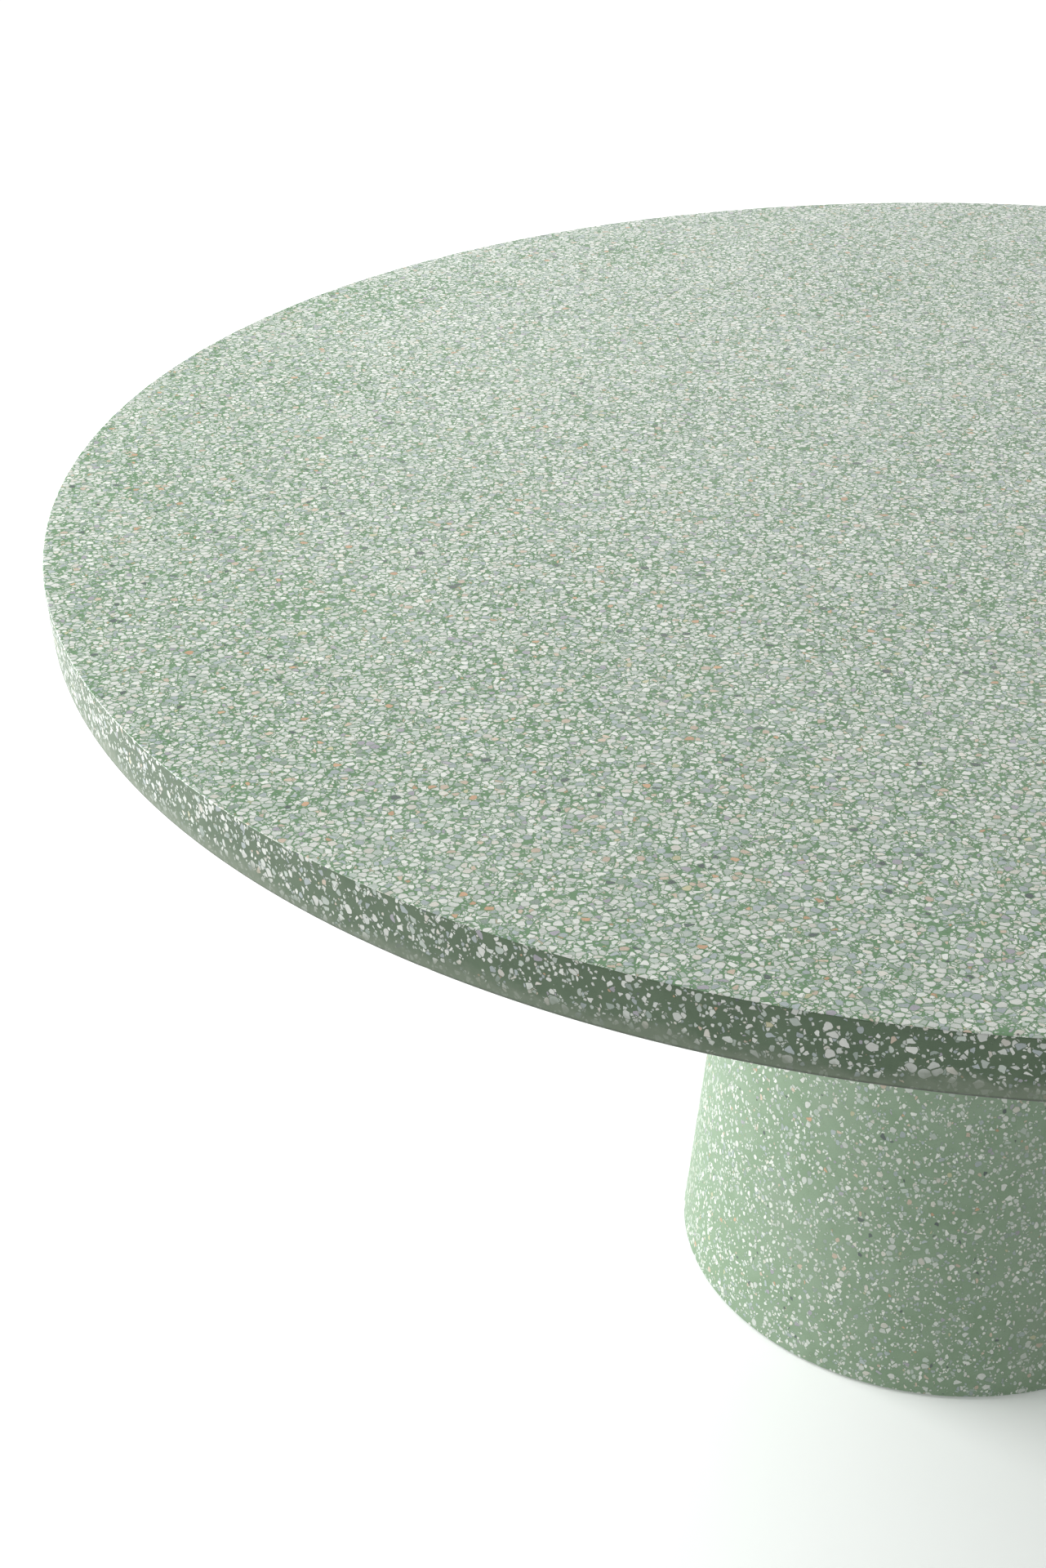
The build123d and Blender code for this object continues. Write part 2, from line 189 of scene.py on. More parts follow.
class Finish:
    """A material, or the air's light, built node by node."""

    def __init__(self, name, kind=bpy.data.materials):
        self.material = kind.new(name)
        self.material.use_nodes = True
        self.tree = self.material.node_tree
        self.tree.nodes.clear()
        self.place = self.node("ShaderNodeTexCoord")["Object"]

    def node(self, kind, settings=None, sockets=None):
        """Any node: its settings are set first, then its sockets get values or links."""
        made = self.tree.nodes.new(kind)
        for name, setting in (settings or {}).items():
            if name == "stops":
                self._set_stops(made.color_ramp, setting)
            else:
                setattr(made, name, setting)
        for name, value in (sockets or {}).items():
            if isinstance(value, Value):
                self.tree.links.new(value.socket, made.inputs[name])
            else:
                made.inputs[name].default_value = value
        return Made(self, made)

    def _set_stops(self, ramp, stops):
        ramp.interpolation = "CONSTANT"
        while len(ramp.elements) < len(stops):
            ramp.elements.new(1.0)
        for element, (position, colour) in zip(ramp.elements, stops):
            element.position = position
            element.color = (*colour, 1)

    def mix(self, first, second, share):
        """One colour going over into another."""
        first, second = (c if isinstance(c, Value) else (*c, 1) for c in (first, second))
        settings = {"data_type": "RGBA"}
        return self.node("ShaderNodeMix", settings, {0: share, 6: first, 7: second})[2]

    def shade(self, colour, amount):
        """A colour made darker or lighter all over by a number or a Value."""
        settings = {"operation": "SCALE"}
        return self.node("ShaderNodeVectorMath", settings, {0: colour, "Scale": amount})[0]

    def shifted(self, place, offset, amount):
        """Places moved by a noise's colour, so that what is drawn there gets a rough outline."""
        settings = {"operation": "MULTIPLY_ADD"}
        middle = (-amount / 2,) * 3
        moved = self.node(
            "ShaderNodeVectorMath", settings, {0: offset, 1: (amount,) * 3, 2: middle}
        )[0]
        return self.node("ShaderNodeVectorMath", {"operation": "ADD"}, {0: place, 1: moved})[0]

    def turned(self, place, turn, stretch=(1, 1, 1), shift=(0, 0, 0)):
        """Places in a frame of their own, turned by degrees, stretched and shifted."""
        sockets = {
            "Vector": place,
            "Location": shift,
            "Rotation": tuple(radians(angle) for angle in turn),
            "Scale": stretch,
        }
        return self.node("ShaderNodeMapping", None, sockets)[0]

    def noise(self, place, size, detail=2.0, roughness=0.5):
        """Cloudy noise whose patches are about a size across. Outputs: 0 value, 1 colour."""
        sockets = {
            "Vector": place,
            "Scale": 1 / size,
            "Detail": detail,
            "Roughness": roughness,
        }
        return self.node("ShaderNodeTexNoise", None, sockets)

    def cells(self, place, size, feature="F1"):
        """A field of cells about a size across."""
        sockets = {"Vector": place, "Scale": 1 / size}
        return self.node("ShaderNodeTexVoronoi", {"feature": feature}, sockets)

    def ease(self, value, low, high, start=0.0, end=1.0):
        """A value spread smoothly over a range."""
        settings = {"interpolation_type": "SMOOTHSTEP"}
        sockets = {0: value, 1: low, 2: high, 3: start, 4: end}
        return self.node("ShaderNodeMapRange", settings, sockets)[0]

    def spread(self, value, low, high, start=0.0, end=1.0):
        """A value spread evenly over a range and held at its ends."""
        sockets = {0: value, 1: low, 2: high, 3: start, 4: end}
        return self.node("ShaderNodeMapRange", None, sockets)[0]

    def height(self, place):
        """The height of a place."""
        return self.node("ShaderNodeSeparateXYZ", None, {0: place})[2]

    def length(self, place):
        """How far a place is from the origin."""
        return self.node("ShaderNodeVectorMath", {"operation": "LENGTH"}, {0: place})["Value"]

    def randoms(self, colour):
        """The three random numbers that a cell's colour holds."""
        parts = self.node("ShaderNodeSeparateColor", None, {0: colour})
        return parts[0], parts[1], parts[2]

    def done(self, colour, roughness, height=None, depth=0.0, **constants):
        """Ends the finish in one glossy shader. The height, from 0 to 1, is that deep."""
        colour = colour if isinstance(colour, Value) else (*colour, 1)
        sockets = {"Base Color": colour, "Roughness": roughness, **constants}
        if height is not None:
            bump = {"Height": height, "Distance": depth}
            sockets["Normal"] = self.node("ShaderNodeBump", None, bump)[0]
        shader = self.node("ShaderNodeBsdfPrincipled", None, sockets)[0]
        self.node("ShaderNodeOutputMaterial", None, {"Surface": shader})
        return self.material


STONES = (
    (0.00, (0.72, 0.745, 0.695)),
    (0.30, (0.63, 0.67, 0.62)),
    (0.56, (0.50, 0.57, 0.51)),
    (0.72, (0.66, 0.65, 0.58)),
    (0.78, (0.40, 0.46, 0.46)),
    (0.88, (0.40, 0.39, 0.43)),
    (0.905, (0.31, 0.38, 0.33)),
    (0.955, (0.59, 0.49, 0.39)),
    (0.978, (0.56, 0.36, 0.23)),
    (0.985, (0.12, 0.15, 0.14)),
    (0.994, (0.54, 0.52, 0.34)),
)
CHIP_RIM = 0.12 * MM  # over how much of a chip's outline its colour goes over
CHIP_ROUGH = 0.9 * MM  # how far the outlines wander
CHIP_MARGIN = 0.35 * MM  # cement left between a large chip and the small ones beside it
PIT_LEAST = 0.25 * MM  # the smallest pit's radius
PIT_MORE = 0.55 * MM  # how much larger a pit's radius may be
PIT_DEPTH = 0.9 * MM
PIT_COLOUR = (0.035, 0.05, 0.04)
CORNER = 0.10  # how much the chips' corners are rounded, as a share of a cell
WIDEST = 0.62  # no chip is wider than this, as a share of a cell


def stone_chips(finish, place, thin, size, fill, gap, turn, stretch):
    """One size of stone chips. Where thin is 1, they are all missing. Returns how deep a point
    is inside a chip, in metres, and two random numbers that are the same all over a chip."""
    place = finish.turned(place, turn, stretch)
    edge = finish.cells(place, size, "DISTANCE_TO_EDGE")["Distance"]
    middle = finish.cells(place, size)
    hue, tone, chance = finish.randoms(middle["Color"])
    settings = {"operation": "SMOOTH_MIN"}
    sockets = {0: edge - gap * (0.45 + 1.1 * tone), 1: WIDEST - middle["Distance"], 2: CORNER}
    inside = finish.node("ShaderNodeMath", settings, sockets)[0]
    missing = (chance > fill * (1 - thin)) * 2.0
    return (inside - missing) * size, hue, tone


def terrazzo(name, green, pale, grades, skin, thin, polish, pale_stone, pit_size, pit_chance):
    """Green cement with stone chips, in grades from the largest down. A skin of plain cement
    may veil them, they may be thin on the ground in places, and they are as pale as said."""
    finish = Finish(name)
    place = finish.place
    rough = finish.noise(place, 2.2 * MM, 2.0, 0.6)[1]
    wandering = finish.shifted(place, rough, CHIP_ROUGH)

    veil_and_shade = skin(finish) if skin else None
    thinned = thin(finish) if thin else 0.0
    inside, hue, tone = stone_chips(finish, wandering, thinned, **grades[0])
    for grade in grades[1:]:
        deeper, other_hue, other_tone = stone_chips(finish, wandering, thinned, **grade)
        room = -inside - CHIP_MARGIN
        deeper = deeper.least(room)
        chosen = deeper > inside
        hue = hue + chosen * (other_hue - hue)
        tone = tone + chosen * (other_tone - tone)
        inside = inside.most(deeper)
    stone = finish.spread(inside, -CHIP_RIM, CHIP_RIM)
    beside = finish.spread(inside, -0.5 * MM, 0.0)

    cloud = finish.noise(place, 170 * MM, 3.0, 0.55)[0]
    blotch = finish.noise(place, 22 * MM, 3.0, 0.6)[0]
    sand = finish.noise(place, 0.7 * MM, 2.0, 0.7)[0]
    lightness = finish.ease(cloud * 0.55 + blotch * 0.45, 0.36, 0.66)
    cement = finish.mix(green, pale, lightness)
    cement = finish.shade(cement, (0.80 + 0.42 * sand) * (1 - 0.16 * beside))

    vein = finish.noise(finish.turned(place, (30, 20, 50), (1, 1, 2.4)), 3.2 * MM, 4.0, 0.65)[0]
    chip = finish.node("ShaderNodeValToRGB", {"stops": STONES}, {0: hue})[0]
    chip = finish.shade(chip, (0.80 + 0.24 * tone + 0.26 * (vein - 0.5)) * pale_stone)
    if veil_and_shade is not None:
        stone = stone * (1 - veil_and_shade[0])
        cement = finish.mix(cement, veil_and_shade[1], veil_and_shade[2])
    colour = finish.mix(cement, chip, stone)

    pit = finish.cells(place, pit_size)
    pit_luck = finish.randoms(pit["Color"])
    pit_radius = PIT_LEAST + PIT_MORE * pit_luck[1]
    hole = finish.spread(pit_radius - pit["Distance"] * pit_size, -0.08 * MM, 0.12 * MM)
    hole = hole * (pit_luck[0] < pit_chance)
    colour = finish.mix(colour, PIT_COLOUR, hole * 0.85)
    # The skin's last part is painted shade: on the edge it darkens the colour along the lower
    # arris, standing in for shadow; on the cone it is 1.
    if veil_and_shade is not None:
        colour = finish.shade(colour, veil_and_shade[3])

    roughness = polish + 0.16 * (1 - stone) + 0.18 * (sand - 0.5) + 0.3 * hole
    height = 0.86 + 0.03 * stone + 0.05 * (sand - 0.5) + 0.04 * (blotch - 0.5) - 0.8 * hole
    return finish.done(colour, roughness, height, PIT_DEPTH)


GREEN = (0.128, 0.258, 0.125)
PALE_GREEN = (0.178, 0.312, 0.174)
# DEEP_GREEN and EDGE_GREEN, the edge's cement, are darker than the top's greens: partly the cut
# edge's own colour, partly painted shade, since the upright band faces away from the light.
DEEP_GREEN = (0.064, 0.112, 0.057)
EDGE_GREEN = (0.092, 0.148, 0.082)
CONE_GREEN = (0.225, 0.325, 0.212)
CONE_PALE = (0.28, 0.375, 0.268)

top_grades = (
    dict(size=5.5 * MM, fill=0.84, gap=0.11, turn=(10, 20, 35), stretch=(1, 1.15, 1.1)),
    dict(size=4.4 * MM, fill=0.80, gap=0.11, turn=(70, 10, -40), stretch=(1.15, 1, 1)),
    dict(size=2.5 * MM, fill=0.60, gap=0.13, turn=(15, 60, 80), stretch=(1, 1.2, 1)),
)
edge_grades = (
    dict(size=6.4 * MM, fill=0.28, gap=0.13, turn=(10, 20, 35), stretch=(1, 1.45, 1.1)),
    dict(size=4.6 * MM, fill=0.30, gap=0.13, turn=(70, 10, -40), stretch=(1.4, 1, 1)),
    dict(size=2.4 * MM, fill=0.24, gap=0.12, turn=(15, 60, 80), stretch=(1, 1.3, 1)),
)
pedestal_grades = (
    dict(size=6.4 * MM, fill=0.20, gap=0.14, turn=(10, 20, 35), stretch=(1, 1.45, 1.1)),
    dict(size=4.6 * MM, fill=0.27, gap=0.13, turn=(70, 10, -40), stretch=(1.4, 1, 1)),
    dict(size=2.7 * MM, fill=0.22, gap=0.12, turn=(15, 60, 80), stretch=(1, 1.2, 1)),
)


def edge_skin_and_shade(finish):
    """A grey skin of cement on the lower part of the edge, which veils the chips there.
    Returns how much it hides the chips, its colour, its share of the cement's colour, and the
    painted shade along the lower arris: a factor that darkens the colour there like the slab's own
    shadow."""
    height = finish.height(finish.place)
    drift = finish.noise(finish.place, 120 * MM, 3.0, 0.6)[0]
    ragged = finish.noise(finish.place, 7 * MM, 3.0, 0.6)[0]
    line = top_low.z + 13 * MM + (drift - 0.5) * 46 * MM + (ragged - 0.5) * 14 * MM
    skin = finish.spread(line - height, -3 * MM, 7 * MM)
    # Painted shade: the lowest few millimetres of the edge are darkened down to 0.16, standing in
    # for the shadow under the slab's lower arris.
    arris_shade = finish.spread(height, top_low.z + 1.0 * MM, top_low.z + 3.2 * MM, 0.16, 1.0)
    tone = finish.mix((0.115, 0.155, 0.10), (0.175, 0.22, 0.155), ragged)
    return skin * 0.85, tone, skin * 0.9, arris_shade


def pedestal_skin(finish):
    """Thin clouds of cement skin over the cone, which veil some chips."""
    drift = finish.noise(finish.place, 85 * MM, 3.0, 0.6)[0]
    skin = finish.ease(drift, 0.52, 0.76)
    return skin * 0.3, finish.mix((0.22, 0.32, 0.21), (0.26, 0.32, 0.24), drift), skin * 0.5, 1.0


def sparse_patches(finish):
    """Patches in the top where more cement than stone came up, mostly near the rim."""
    drift = finish.noise(finish.place, 130 * MM, 3.0, 0.55)[0]
    rim = finish.ease(finish.length(finish.place), 0.84, 1.02)
    return finish.ease(drift, 0.50, 0.72) * (0.10 + 0.34 * rim)


def cast_underside():
    """Cement floated by hand on the side that isn't seen: no chips, swirls and air holes."""
    finish = Finish("cast_underside")
    place = finish.place
    drift = finish.noise(place, 140 * MM, 4.0, 0.6)[0]
    swirl = finish.noise(finish.turned(place, (0, 0, 25), (1, 5, 1)), 30 * MM, 4.0, 0.65)[0]
    sand = finish.noise(place, 1.1 * MM, 3.0, 0.7)[0]
    colour = finish.mix((0.19, 0.30, 0.20), (0.29, 0.38, 0.30), finish.ease(drift, 0.3, 0.7))
    colour = finish.shade(colour, 0.74 + 0.26 * swirl + 0.3 * sand)
    bubble = finish.cells(place, 9 * MM)
    luck = finish.randoms(bubble["Color"])
    hole = finish.spread(1.5 * MM * luck[1] - bubble["Distance"] * 9 * MM, 0.0, 0.25 * MM)
    hole = hole * (luck[0] < 0.4)
    colour = finish.mix(colour, (0.05, 0.08, 0.055), hole * 0.8)
    height = 0.7 + 0.2 * (swirl - 0.5) + 0.25 * (sand - 0.5) - 0.6 * hole
    return finish.done(colour, 0.72 + 0.2 * (sand - 0.5), height, 1.2 * MM)


def plated_steel(name, tint, dark, roughness=0.3):
    """Bright zinc on steel: fine crystals, faint scratches and duller patches."""
    finish = Finish(name)
    place = finish.place
    crystal = finish.cells(place, 1.6 * MM)["Color"]
    grain = finish.randoms(crystal)[0]
    patch = finish.noise(place, 9 * MM, 3.0, 0.6)[0]
    scratch = finish.noise(finish.turned(place, (20, 0, 40), (14, 1, 1)), 6 * MM, 3.0, 0.7)[0]
    colour = finish.mix(dark, tint, finish.ease(patch * 0.7 + grain * 0.3, 0.2, 0.7))
    dull = roughness + 0.16 * (patch - 0.5) + 0.1 * grain + 0.12 * finish.ease(scratch, 0.6, 0.7)
    height = 0.5 + 0.2 * (scratch - 0.5) + 0.1 * grain
    return finish.done(colour, dull, height, 0.06 * MM, Metallic=1.0)


def scaled_steel():
    """Bare reinforcing steel: blue-black mill scale with rust coming through."""
    finish = Finish("scaled_steel")
    rust = finish.noise(finish.place, 11 * MM, 5.0, 0.7)[0]
    fine = finish.noise(finish.place, 1.3 * MM, 3.0, 0.7)[0]
    share = finish.ease(rust * 0.7 + fine * 0.3, 0.44, 0.6)
    scale = finish.mix((0.06, 0.06, 0.07), (0.1, 0.1, 0.11), fine)
    colour = finish.mix(scale, (0.21, 0.085, 0.035), share)
    return finish.done(colour, 0.45 + 0.4 * share, 0.4 + 0.5 * fine * share, 0.2 * MM,
                       Metallic=0.6)


def powder_coat():
    """Black powder coat with its fine orange peel, a little dusty from the bench."""
    finish = Finish("powder_coat")
    peel = finish.noise(finish.place, 1.5 * MM, 2.0, 0.5)[0]
    dust = finish.noise(finish.place, 45 * MM, 5.0, 0.65)[0]
    share = finish.ease(dust, 0.5, 0.78)
    colour = finish.mix((0.018, 0.020, 0.020), (0.075, 0.08, 0.075), share * 0.7)
    return finish.done(colour, 0.42 + 0.22 * share + 0.1 * (peel - 0.5), peel, 0.12 * MM)


def black_rubber(name, grey=(0.021, 0.021, 0.022)):
    """Moulded black rubber: a fine grain, with paler bloom in patches."""
    finish = Finish(name)
    grain = finish.noise(finish.place, 0.6 * MM, 3.0, 0.6)[0]
    bloom = finish.noise(finish.place, 14 * MM, 4.0, 0.6)[0]
    share = finish.ease(bloom, 0.48, 0.75)
    colour = finish.mix(grey, (0.07, 0.07, 0.072), share * 0.6)
    return finish.done(colour, 0.78 + 0.15 * (grain - 0.5), grain, 0.1 * MM)


# ---- Meshes ----------------------------------------------------------------------------


def arc(centre, radius, start, end, steps):
    """Points of a round corner in the plane of radius and height, angles in degrees."""
    turns = [radians(start + (end - start) * step / steps) for step in range(steps + 1)]
    return [(centre[0] + radius * cos(t), centre[1] + radius * sin(t)) for t in turns]


def on_disc(middle, size):
    """A layout for the bake: a face of revolution flattened to a disc of a size."""

    def lay(radius, widest, along, turn):
        distance = size / 2 * radius / widest
        return middle[0] + distance * cos(turn), middle[1] + distance * sin(turn)

    return lay


def on_strips(left, low, width, height, count=1, margin=0.003):
    """A layout for the bake: a band round the axis, cut into upright strips side by side."""

    def lay(radius, widest, along, turn, strip):
        step = width / count
        across = left + strip * step + margin + (step - 2 * margin) * along
        up = (turn / tau * count - strip) * (height - 2 * margin)
        return across, low + margin + up

    lay.count = count
    return lay


def turned(name, zones, segments, relief=None, sharp=30):
    """A closed body of revolution. Each zone is (points, material, layout): radius and height
    along its outline, and how it lies in the bake's map. Zones follow each other, and the
    outline starts and ends on the axis. The relief gives each point its true radius."""
    outline, spans = [], []
    for points, material, layout in zones:
        first = max(len(outline) - 1, 0)
        outline += points[1:] if outline else points
        spans.append((first, len(outline) - 1, material, layout))

    vertices, rings = [], []
    for radius, height in outline:
        if radius < 1e-9:
            rings.append([len(vertices)] * segments)
            vertices.append((0, 0, height))
            continue
        rings.append(range(len(vertices), len(vertices) + segments))
        for step in range(segments):
            turn = tau * step / segments
            away = relief(radius, height, turn) if relief else radius
            vertices.append((away * cos(turn), away * sin(turn), height))

    faces, places, shares = [], [], []
    materials = []
    for first, last, material, layout in spans:
        if material not in materials:
            materials.append(material)
        widest = max(radius for radius, height in outline[first : last + 1])
        steps = [0.0]
        for (r1, z1), (r2, z2) in zip(outline[first:last], outline[first + 1 : last + 1]):
            steps.append(steps[-1] + hypot(r2 - r1, z2 - z1))
        for row in range(first, last):
            for step in range(segments):
                face = []
                for up, past in ((0, 0), (1, 0), (1, 1), (0, 1)):
                    level, column = row + up, step + past
                    vertex = rings[level][column % segments]
                    if vertex in face:
                        continue
                    face.append(vertex)
                    if layout is None:
                        places.append((0, 0))
                        continue
                    strips = getattr(layout, "count", 0)
                    strip = (step * strips // segments,) if strips else ()
                    along = steps[level - first] / steps[-1]
                    turn = tau * column / segments
                    places.append(layout(outline[level][0], widest, along, turn, *strip))
                faces.append(face)
                shares.append(materials.index(material))

    mesh = bpy.data.meshes.new(name)
    mesh.from_pydata(vertices, [], faces)
    for material in materials:
        mesh.materials.append(material)
    if zones[0][2] is not None:
        bake = mesh.uv_layers.new(name="OFBake")
        bake.data.foreach_set("uv", [n for spot in places for n in spot])
    mesh.polygons.foreach_set("material_index", shares)
    mesh.polygons.foreach_set("use_smooth", [True] * len(faces))
    shape = bmesh.new()
    shape.from_mesh(mesh)
    bmesh.ops.recalc_face_normals(shape, faces=shape.faces)
    shape.to_mesh(mesh)
    shape.free()
    mesh.set_sharp_from_angle(angle=radians(sharp))
    piece = bpy.data.objects.new(name, mesh)
    bpy.context.scene.collection.objects.link(piece)
    return piece


def bored(piece, bores):
    """Takes the bores' solids out of a piece, and keeps their layout in the bake's map."""
    for solid in bores:
        cut = piece.modifiers.new("bore", "BOOLEAN")
        cut.operation = "DIFFERENCE"
        cut.solver = "EXACT"
        cut.object = solid
        cut.material_mode = "TRANSFER"
    shape = bpy.context.evaluated_depsgraph_get()
    mesh = bpy.data.meshes.new_from_object(piece.evaluated_get(shape))
    piece.modifiers.clear()
    piece.data = mesh
    mesh.name = piece.name
    for solid in bores:
        bpy.data.objects.remove(solid)


def bore(radius, low, high, place, material, corner, size):
    """A round hole's solid, moved to its place. Its wall and ends lie in a square of the map."""
    wall = on_strips(corner[0], corner[1], size * 0.5, size)
    ends = [
        on_disc((corner[0] + size * 0.75, corner[1] + size * share), size * 0.4)
        for share in (0.25, 0.75)
    ]
    zones = [
        ([(0, low), (radius, low)], material, ends[0]),
        ([(radius, low), (radius, high)], material, wall),
        ([(radius, high), (0, high)], material, ends[1]),
    ]
    solid = turned("bore", zones, 48)
    solid.data.transform(Matrix.Translation((*place, 0)))
    return solid


def round_places(radius, count, start):
    """Places on a circle about the table's axis."""
    turns = [radians(start) + tau * index / count for index in range(count)]
    return [(radius * cos(turn), radius * sin(turn)) for turn in turns]


def finished(piece, body, slot, *nodes):
    """Joins a piece to its body and hides the CAD nodes that it stands for. The slot is not used.
    """
    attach(piece, body)
    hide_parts(*nodes)


def make_slab():
    """The cast disc, with a ground arris that is never quite even and a few small nicks."""
    honed = terrazzo("honed_terrazzo", GREEN, PALE_GREEN, top_grades, None, sparse_patches,
                     0.27, 1.13, 16 * MM, 0.5)
    edge = terrazzo("edge_terrazzo", DEEP_GREEN, EDGE_GREEN, edge_grades, edge_skin_and_shade, None,
                    0.36, 0.93, 16 * MM, 0.6)
    cast = cast_underside()

    high, low = top_high.z, top_low.z
    rim = TOP_RADIUS - TOP_ARRIS
    lean = EDGE_DRAFT / (high - low)
    corner = (TOP_RADIUS - EDGE_DRAFT - LOWER_ARRIS, low + LOWER_ARRIS)
    rows = 8
    side = []
    for row in range(1, rows):
        height = high - TOP_ARRIS - (high - low - TOP_ARRIS - LOWER_ARRIS) * row / rows
        side.append((TOP_RADIUS - lean * (high - height), height))
    face = [(0, high), (0.25, high), (0.5, high), (rim - 12 * MM, high), (rim - 2 * MM, high)]
    upper = arc((rim, high - TOP_ARRIS), TOP_ARRIS, 90, 0, 6)
    lower = arc(corner, LOWER_ARRIS, -3, -90, 6)
    under = [
        (corner[0] - 4 * MM, low),
        (0.5, low),
        (POCKET_RADIUS + 1.5 * MM, low),
        (POCKET_RADIUS, low + 1 * MM),
        (POCKET_RADIUS, POCKET_TOP),
        (0, POCKET_TOP),
    ]

    def uneven(radius, height, turn):
        """Small hollows along both arrises, and a hair of waviness left by the grinding."""
        if radius < rim - 1 * MM - EDGE_DRAFT:
            return radius
        spot = Vector((cos(turn), sin(turn), height)) * 0.75
        wave = abs(noise.noise(spot * 9)) * 0.05 * MM
        nick = max(0.0, noise.noise(spot * 55 + Vector((3, 7, 1))) - 0.52) * 5 * MM
        near_top = min(1.0, max(0.0, 1 - (high - height) / (2.4 * MM)))
        near_foot = min(1.0, max(0.0, 1 - (height - low) / (3.4 * MM)))
        return radius - wave - nick * (0.6 * near_top + near_foot)

    zones = [
        (face + upper[:4], honed, on_disc((0.413, 0.413), 0.82)),
        (upper[3:] + side + lower, edge, on_strips(0.83, 0, 0.17, 1, 4)),
        (lower[-1:] + under, cast, on_disc((0.087, 0.912), 0.165)),
    ]
    slab = turned("terrazzo_slab", zones, 1440, uneven)
    bores = [
        bore(TOP_SOCKET_BORE, POCKET_TOP - OVERCUT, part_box("top_sockets")[1].z, place, cast,
             (0.2 + 0.075 * index, 0.86), 0.07)
        for index, place in enumerate(
            round_places(TOP_BOLT_CIRCLE, TOP_BOLT_COUNT, TOP_BOLT_START)
        )
    ]
    bored(slab, bores)
    finished(slab, "table", "top_terrazzo", "table_top")


def make_pedestal():
    """The hollow cast cone, bored for its feet and for the screws in its head."""
    skin = terrazzo("cone_terrazzo", CONE_GREEN, CONE_PALE, pedestal_grades, pedestal_skin, None,
                    0.45, 1.06, 21 * MM, 0.72)
    cast = cast_underside()
    low, high = pedestal_low.z, pedestal_high.z
    slope = (FOOT_RADIUS - HEAD_RADIUS) / (high - low)

    def outer(height):
        return FOOT_RADIUS - slope * (height - low)

    rows = 24
    foot = arc((FOOT_RADIUS - PEDESTAL_ARRIS, low + PEDESTAL_ARRIS), PEDESTAL_ARRIS, -90, 0, 4)
    head = arc((HEAD_RADIUS - PEDESTAL_ARRIS, high - PEDESTAL_ARRIS), PEDESTAL_ARRIS, 6, 90, 4)
    rise = high - low - 2 * PEDESTAL_ARRIS
    levels = [low + PEDESTAL_ARRIS + rise * row / rows for row in range(1, rows)]
    side = [(outer(z), z) for z in levels]
    hollow = high - HEAD_THICKNESS
    ledge = low + RING_HEIGHT
    wall_foot = ledge + RING_SLOPE
    ring = FOOT_RADIUS - RING_WIDTH
    inside = [
        (0, hollow),
        (outer(hollow) - PEDESTAL_WALL - 6 * MM, hollow),
        (outer(hollow) - PEDESTAL_WALL, hollow - 6 * MM),
    ]
    wall = [(outer(z) - PEDESTAL_WALL, z) for z in (hollow - 6 * MM, 0.45, 0.25, wall_foot)]

    def uneven(radius, height, turn):
        """The mould left the cone a hair out of round, and its arrises lost a few grains."""
        if radius < outer(height) - 3 * MM:
            return radius
        spot = Vector((cos(turn) * 0.2, sin(turn) * 0.2, height))
        wave = abs(noise.noise(spot * 6)) * 0.25 * MM
        nick = max(0.0, noise.noise(spot * 160 + Vector((5, 1, 2))) - 0.45) * 5 * MM
        near_foot = min(1.0, max(0.0, 1 - (height - low) / (4 * MM)))
        return radius - wave - nick * near_foot

    zones = [
        (inside, cast, on_disc((0.70, 0.10), 0.14)),
        (wall, cast, on_strips(0.80, 0, 0.20, 1)),
        ([wall[-1], (ring, ledge)], cast, on_disc((0.70, 0.30), 0.14)),
        ([(ring, ledge), (ring, low)], cast, on_strips(0.625, 0.42, 0.04, 0.36)),
        ([(ring, low), foot[0]], cast, on_disc((0.70, 0.90), 0.16)),
        (foot + side + head, skin, on_strips(0, 0, 0.62, 1)),
        ([head[-1], (0, high)], cast, on_disc((0.73, 0.68), 0.12)),
    ]
    cone = turned("terrazzo_pedestal", zones, 512, uneven)
    sockets_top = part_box("foot_sockets")[1].z
    head_low, head_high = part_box("head_sockets")
    bores = []
    for index, place in enumerate(round_places(FOOT_CIRCLE, FOOT_COUNT, 0)):
        corner = 0.67 + 0.021 * index
        bores.append(bore(FOOT_POCKET_RADIUS, low - OVERCUT, FOOT_POCKET_TOP, place, cast,
                          (corner, 0.44), 0.02))
        bores.append(bore(FOOT_SOCKET_BORE, FOOT_POCKET_TOP - OVERCUT, sockets_top, place, cast,
                          (corner, 0.47), 0.02))
    for index, place in enumerate(round_places(HEAD_SCREW_CIRCLE, HEAD_SCREW_COUNT, 0)):
        bores.append(bore(HEAD_SOCKET_BORE, head_low.z, head_high.z + OVERCUT, place, cast,
                          (0.67 + 0.021 * index, 0.50), 0.02))
    bored(cone, bores)
    finished(cone, "table", "pedestal_terrazzo", "pedestal")


# ---- Fixings and feet ------------------------------------------------------------------


def hexagon(flats):
    """A relief that turns a round head into a hexagon, with its corners on whole sixths."""

    def relief(radius, height, turn):
        past = turn % (tau / 6) - tau / 12
        return min(radius, flats / 2 / cos(past))

    return relief


def thread(pitch, depth, low, high):
    """How far a right-hand thread's groove goes in at a height and a turn about the axis."""

    def groove(height, turn):
        phase = (height / pitch - turn / tau) % 1.0
        shape = min(1.0, max(0.0, abs(phase - 0.5) * 2.6 - 0.15))
        fade = min(1.0, max(0.0, (height - low) / pitch), max(0.0, (high - height) / pitch))
        return depth * shape * fade

    return groove


def climb(low, high, radius, pitch, per_turn=8):
    """The points of a plain shank, close enough together to carry a thread."""
    count = round((high - low) / pitch * per_turn)
    return [(radius, low + (high - low) * row / count) for row in range(count + 1)]


